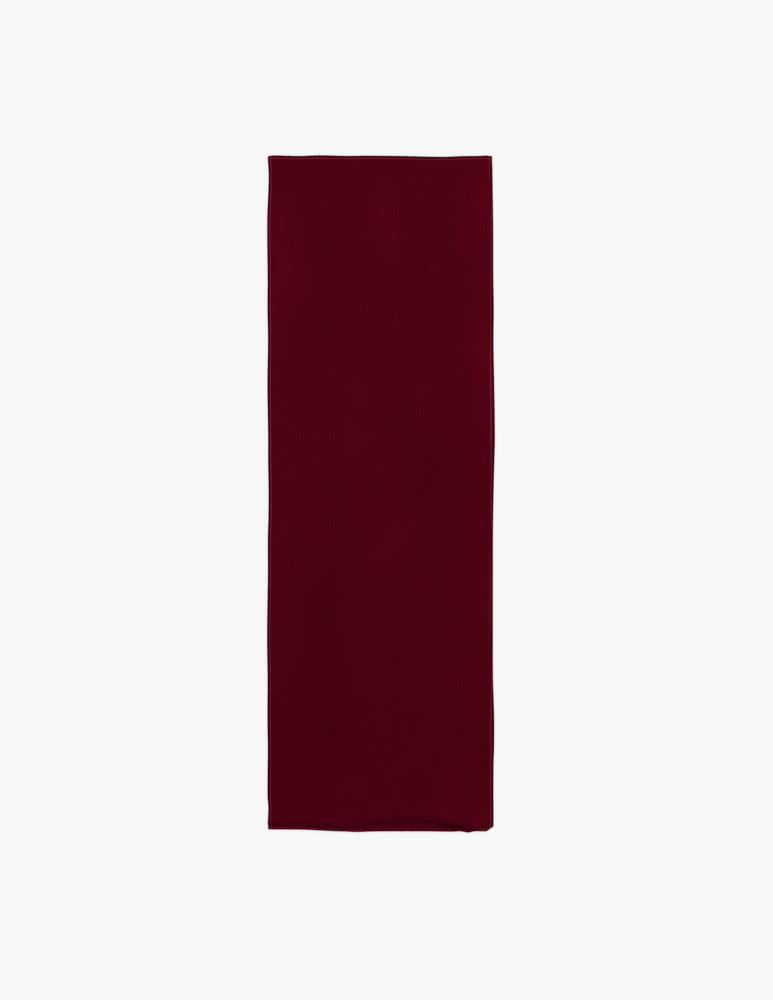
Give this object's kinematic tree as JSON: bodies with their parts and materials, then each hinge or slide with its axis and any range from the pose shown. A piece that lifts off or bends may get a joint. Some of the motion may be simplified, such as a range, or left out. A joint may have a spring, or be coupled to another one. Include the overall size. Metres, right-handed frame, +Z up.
{
  "type": "folded rib-knit scarf",
  "caption": "Long plain dark red scarf in lengthwise rib knit, folded once across and lying flat, its lower half showing along one side and at the free ends.",
  "frame": {"origin": "on the surface the folded scarf lies on, under the middle of its length and width", "axes": "+Y along the scarf from the free ends to the fold, +X across it to the side where the lower half shows, +Z up"},
  "size_m": [0.303, 0.9013, 0.011],
  "materials": {
    "rib_knit": "dull dark red wool in a fine rib knit, soft nap, no shine"
  },
  "bodies": {
    "root": {"upper_stretch": "rib_knit", "under_stretch": "rib_knit"}
  },
  "joints": []
}
